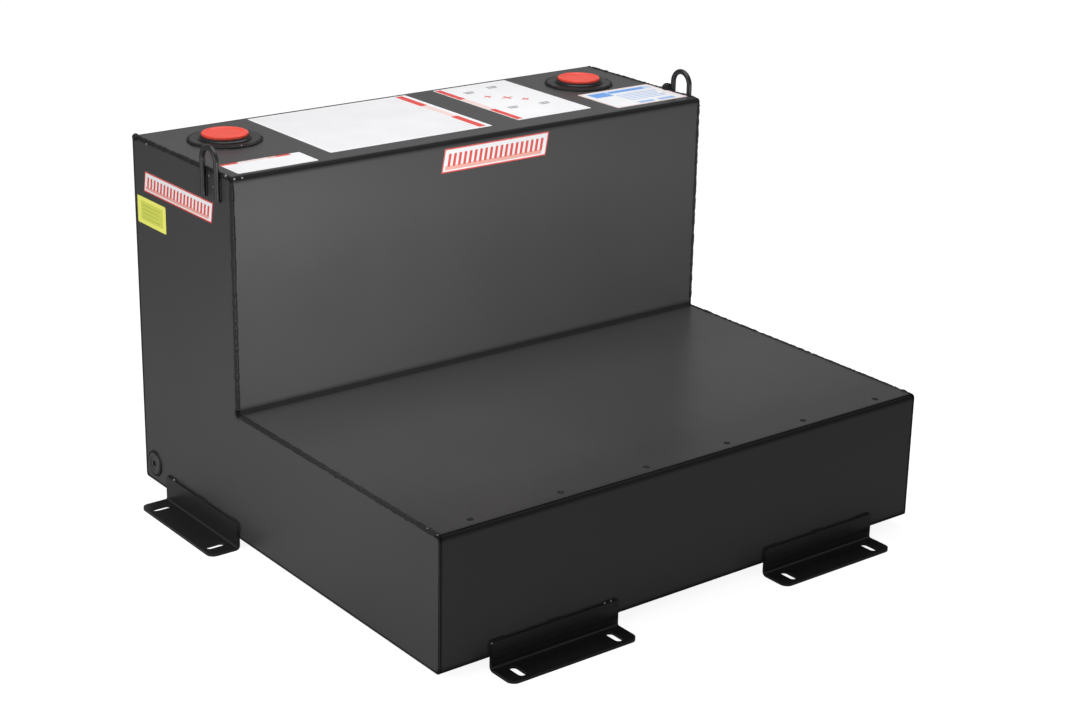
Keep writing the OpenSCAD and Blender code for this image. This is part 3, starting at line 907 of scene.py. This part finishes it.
def weld_deck_plugs(finish):
    """The small round welds along the deck's front edge, one in each sink mark."""
    paths = []
    for i in range(PLUG_WELD_COUNT):
        x = (i - (PLUG_WELD_COUNT - 1) / 2) * PLUG_WELD_PITCH
        centre = Vector((x, PANEL_LO.y + PLUG_WELD_FROM_FRONT, DECK_TOP - PLUG_WELD_SINK))
        for radius, count in PLUG_WELD_RINGS:
            paths.append((ring(centre, X_AXIS, Y_AXIS, radius, count), True))
    weld("deck_plug_welds", paths, finish, PLUG_WELD_R,
         pitch=0.003, depth=0.3, spacing=0.0008, sides=8, seed=40.0)


# Lifting loops

LOOP_WELD_R = 0.0023
LOOP_WELD_OUT = 0.0006
# Shares of the bar's diameter, from its middle to the beads beside it and to the ends of the one below
LEG_FLANK = 0.48
LEG_FOOT = 0.45
LEG_FOOT_DROP = 0.001
LEG_TOP_GAP = 0.008
EDGE_RUN_HALF = 0.013
EDGE_RUN_INSET = 3 * LOOP_WELD_OUT
LOOP_LUMP_R = 0.0090
LOOP_LUMP_LEN = 0.021
LOOP_LUMP_RISE = 0.003


def loop_paths(side, inward):
    """Down both sides of each leg, across its lower end, and along the panel's edge behind it."""
    lo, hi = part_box(f"{side}_lifting_loop")
    bar = hi.x - lo.x
    face_x = inward * (PANEL_LO.x - LOOP_WELD_OUT)
    edge_x = inward * (PANEL_LO.x + EDGE_RUN_INSET)
    foot, head = lo.z - LEG_FOOT_DROP, PANEL_HI.z - LEG_TOP_GAP
    paths = []
    for leg_y in (lo.y + bar / 2, hi.y - bar / 2):
        for flank in (-1, 1):
            y = leg_y + flank * bar * LEG_FLANK
            paths.append([Vector((face_x, y, z)) for z in (foot, head)])
        paths.append([Vector((face_x, leg_y + end * bar * LEG_FOOT, foot)) for end in (-1, 1)])
        paths.append([Vector((edge_x, leg_y + end * EDGE_RUN_HALF, PANEL_HI.z)) for end in (-1, 1)])
    return [(path, False) for path in paths]


def weld_loop_lump(finish):
    """The lump of weld beside the right loop's rear leg."""
    lo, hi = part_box("right_lifting_loop")
    x, z = -(PANEL_LO.x + EDGE_RUN_INSET), PANEL_HI.z + LOOP_LUMP_RISE
    rear_y = hi.y - (hi.x - lo.x) / 2
    lump = [Vector((x, rear_y + run, z)) for run in (0.0, LOOP_LUMP_LEN)]
    weld("right_loop_lump", [(lump, False)], finish, LOOP_LUMP_R,
         pitch=0.008, depth=0.25, unevenness=0.6, taper=0.006, seed=26.0)


def weld_loops(finish):
    """The beads that hold the two lifting loops, and the lump at the right one."""
    for seed, (side, inward) in enumerate(SIDES):
        weld(f"{side}_loop_weld", loop_paths(side, inward), finish, LOOP_WELD_R,
             pitch=0.0035, seed=20.0 + seed)
    weld_loop_lump(finish)


# Weld spatter where the paint didn't hold, partly painted highlights where glints show

SPATTER_SMALLEST = 0.0012
SPATTER_LARGEST = 0.0022
SPATTER_SEED = 3
PORT_SPATTER_GLINT_TURN = math.radians(-94)
PORT_SPATTER_GLINT_OUT = 0.003
PORT_SPATTER_GLINT_RISE = 0.0035


def spatter_tree():
    """Small beads of metal, one on each point of a mesh, with sizes that vary."""
    inputs = (
        ("Points", "Geometry"), ("Smallest", "Float"), ("Largest", "Float"),
        ("Seed", "Int"), ("Finish", "Material"))
    tree, given = new_tree("weld spatter", inputs, "Spatter")
    drop = add(tree, "GeometryNodeMeshIcoSphere", None, Radius=1.0, Subdivisions=2).outputs["Mesh"]
    size = add(
        tree, "FunctionNodeRandomValue", {"data_type": "FLOAT"},
        i2=given["Smallest"], i3=given["Largest"], Seed=given["Seed"])
    placed = add(
        tree, "GeometryNodeInstanceOnPoints", None,
        Points=given["Points"], Instance=smooth(tree, drop), Scale=size.outputs[1]).outputs[0]
    end_tree(tree, placed, given["Finish"])
    return tree


def port_spatter_glint():
    """The spot on the weld round the fill port, bare metal that is partly a painted highlight."""
    lo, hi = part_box("fill_port_fitting")
    reach = (hi.x - lo.x) / 2 + PORT_SPATTER_GLINT_OUT
    return (
        (lo.x + hi.x) / 2 + reach * math.cos(PORT_SPATTER_GLINT_TURN),
        (lo.y + hi.y) / 2 + reach * math.sin(PORT_SPATTER_GLINT_TURN), PANEL_HI.z + PORT_SPATTER_GLINT_RISE)


def spatter_glint_places():
    """Spots on the weld seams, each by its distances from an edge or a corner."""
    # Painted highlights in part: each drop sits where a glint shows on a seam, a corner or the left loop
    front_lo, front_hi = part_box("front_left_foot")
    end_lo, end_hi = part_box("left_end_foot")
    loop_lo, loop_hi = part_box("left_lifting_loop")
    loop_y = (loop_lo.y + loop_hi.y) / 2
    face, front, top = PANEL_LO.x, PANEL_LO.y, PANEL_HI.z
    front_foot = [
        (front_lo.x + 0.002, front - 0.003, front_hi.z - 0.002),
        (front_hi.x - 0.026, front - 0.0025, front_hi.z + 0.001),
        (front_hi.x - 0.014, front - 0.0025, front_hi.z + 0.001)]
    end_foot = [
        (face - 0.003, end_hi.y - 0.026, end_hi.z + 0.001),
        (face - 0.003, end_lo.y + 0.004, end_hi.z - 0.003)]
    deck_corner = [
        (face + 0.001, front + 0.032, DECK_TOP + 0.001),
        (face + 0.001, front + 0.007, DECK_TOP)]
    tower_corner = [
        (face - 0.0005, RISER_Y + 0.014, top + 0.001),
        (face + 0.006, RISER_Y - 0.001, top - 0.002),
        (face + 0.020, RISER_Y - 0.001, top - 0.002)]
    rear_corner = [(face - 0.002, PANEL_HI.y - 0.055, top - 0.004)]
    loop = [
        (face + 0.003, loop_y - 0.004, top + 0.0015),
        (face - 0.002, loop_y + 0.006, top - 0.010),
        (face - 0.001, loop_y - 0.004, top - 0.026)]
    return front_foot + end_foot + deck_corner + tower_corner + rear_corner + [port_spatter_glint()] + loop


def add_spatter_glints(finish):
    """Bare drops of metal beside the welds, partly painted highlights where glints show."""
    mesh = bpy.data.meshes.new("weld_spatter_glints")
    mesh.from_pydata(spatter_glint_places(), [], [])
    piece = new_object("weld_spatter_glints", mesh)
    grow(piece, spatter_tree(), {
        "Smallest": SPATTER_SMALLEST, "Largest": SPATTER_LARGEST, "Seed": SPATTER_SEED, "Finish": finish})
    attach(piece, "tank")


# Floor, world and lamps

FLOOR_R = 40.0
FLOOR_SIDES = 96
FLOOR_FILL = 0.90
GLOSSY_SHARE = 0.08


def background_share(tree):
    """How pale a ray finds the background: fully from the camera or through glass, a little off gloss."""
    rays = add(tree, "ShaderNodeLightPath").outputs
    clear = math_node(tree, "MAXIMUM", rays["Is Camera Ray"], rays["Is Transmission Ray"])
    gloss = math_node(tree, "MULTIPLY", rays["Is Glossy Ray"], GLOSSY_SHARE)
    return math_node(tree, "MAXIMUM", clear, gloss)


def pale_floor():
    """Matte grey that keeps the tank's shadow, with the background's own light added."""
    material, tree = new_material("pale floor")
    tree.nodes.clear()
    matte = add(tree, "ShaderNodeBsdfDiffuse", None, Color=FLOOR_GREY)
    strength = math_node(tree, "MULTIPLY", background_share(tree), FLOOR_FILL)
    pale = add(tree, "ShaderNodeEmission", None, Strength=strength)
    both = add(tree, "ShaderNodeAddShader", None, i0=matte.outputs[0], i1=pale.outputs[0])
    add(tree, "ShaderNodeOutputMaterial", None, Surface=both.outputs[0])
    return material


def add_floor():
    """A wide disc under the feet."""
    disc = bmesh.new()
    bmesh.ops.create_circle(disc, cap_ends=True, radius=FLOOR_R, segments=FLOOR_SIDES)
    mesh = bpy.data.meshes.new("floor")
    disc.to_mesh(mesh)
    disc.free()
    mesh.transform(Matrix.Translation((0, 0, cad_bounds[0].z)))
    mesh.materials.append(pale_floor())
    new_object("floor", mesh)


def add_world():
    """Dim grey all round for the tank, white for the background."""
    world = bpy.data.worlds.new("studio")
    world.use_nodes = True
    tree = world.node_tree
    sky = mix_colours(tree, background_share(tree), WORLD_GREY, WHITE)
    tree.links.new(sky, tree.nodes["Background"].inputs["Color"])
    bpy.context.scene.world = world


def add_softbox(name, place, aim, watts, width, height, spread=180):
    """A lamp with a rectangular face that looks from its place at an aim; the spread is in degrees."""
    data = bpy.data.lights.new(name, "AREA")
    data.energy = watts
    data.shape = "RECTANGLE"
    data.size = width
    data.size_y = height
    data.spread = math.radians(spread)
    lamp = new_object(name, data)
    lamp.location = place
    lamp.rotation_euler = (Vector(aim) - Vector(place)).to_track_quat("-Z", "Y").to_euler()


def add_lamps():
    """One lamp over the tank, two that look at the riser and one at the left end."""
    add_softbox(
        "overhead softbox", place=(0.0, 0.18, 1.6), aim=(0.0, 0.18, 0.0),
        watts=13.6, width=1.6, height=0.95)
    add_softbox(
        "riser softbox", place=(0.12, -0.40, 0.48), aim=(0.12, 0.15, 0.38),
        watts=2.55, width=1.7, height=0.3, spread=100)
    add_softbox(
        "low left riser softbox", place=(-0.34, -0.42, 0.44), aim=(-0.30, 0.15, 0.30),
        watts=0.65, width=0.6, height=0.3, spread=90)
    add_softbox(
        "left softbox", place=(-1.7, -0.15, 0.60), aim=(-0.49, -0.10, 0.40),
        watts=15.0, width=2.0, height=1.3)


# Put together

def dress(node, material):
    """Gives a solid its finish."""
    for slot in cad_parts[node].material_slots:
        slot.material = material


add_camera()
add_floor()
add_world()
add_lamps()

paint = powder_coat("black powder coat", PAINT_BLACK)
# A darker copy of the powder coat: painted shade for the feet, loops and port fittings
shaded_paint = powder_coat("black powder coat of feet, loops and ports", SHADED_PAINT_BLACK)
# A darker copy of the powder coat with weaker reflections, on the weld beads: painted shade in their
# undercuts
seam_shade_paint = powder_coat("black powder coat on weld seams", SEAM_SHADE_BLACK, WELD_IOR)
rubber = seal_rubber()
red_plastic = plug_plastic()
label_fields = {
    "main_label": (VINYL_WHITE, main_label_fields()),
    "diagram_label": (VINYL_WHITE, diagram_label_fields()),
    "fill_label": (VINYL_WHITE, fill_label_fields()),
    "pump_label": (VINYL_WHITE, pump_label_fields()),
    "riser_strip": (VINYL_WHITE, strip_fields("riser_strip")),
    "end_strip": (VINYL_WHITE, strip_fields("end_strip")),
    "yellow_label": (VINYL_YELLOW, yellow_label_fields()),
}
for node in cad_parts:
    if node in label_fields:
        dress(node, label_vinyl(node, *label_fields[node]))
    elif node.endswith("_port_plug"):
        dress(node, red_plastic)
    elif node.endswith("_seal"):
        dress(node, rubber)
    # Painted shade: feet, loops and port fittings take the darkened copy of the paint
    elif node.endswith(("_foot", "_loop", "_port_fitting")):
        dress(node, shaded_paint)
    else:
        dress(node, paint)

for port in ("fill", "pump"):
    add_threaded_plug(
        f"{port}_port_plug", f"{port}_plug",
        Z_AXIS, X_AXIS, PLUG_SHANK_R, PIPE_THREAD_2, red_plastic)
add_threaded_plug(
    "drain_plug", "drain_plug",
    -X_AXIS, Z_AXIS, DRAIN_SHANK_R, PIPE_THREAD_3_4, paint)
weld_end_seams(seam_shade_paint)
weld_feet(seam_shade_paint)
weld_ports(seam_shade_paint)
weld_loops(seam_shade_paint)
weld_drain(seam_shade_paint)
weld_deck_plugs(seam_shade_paint)
add_spatter_glints(glinting_bare_metal())

bpy.context.scene.view_settings.view_transform = "Standard"
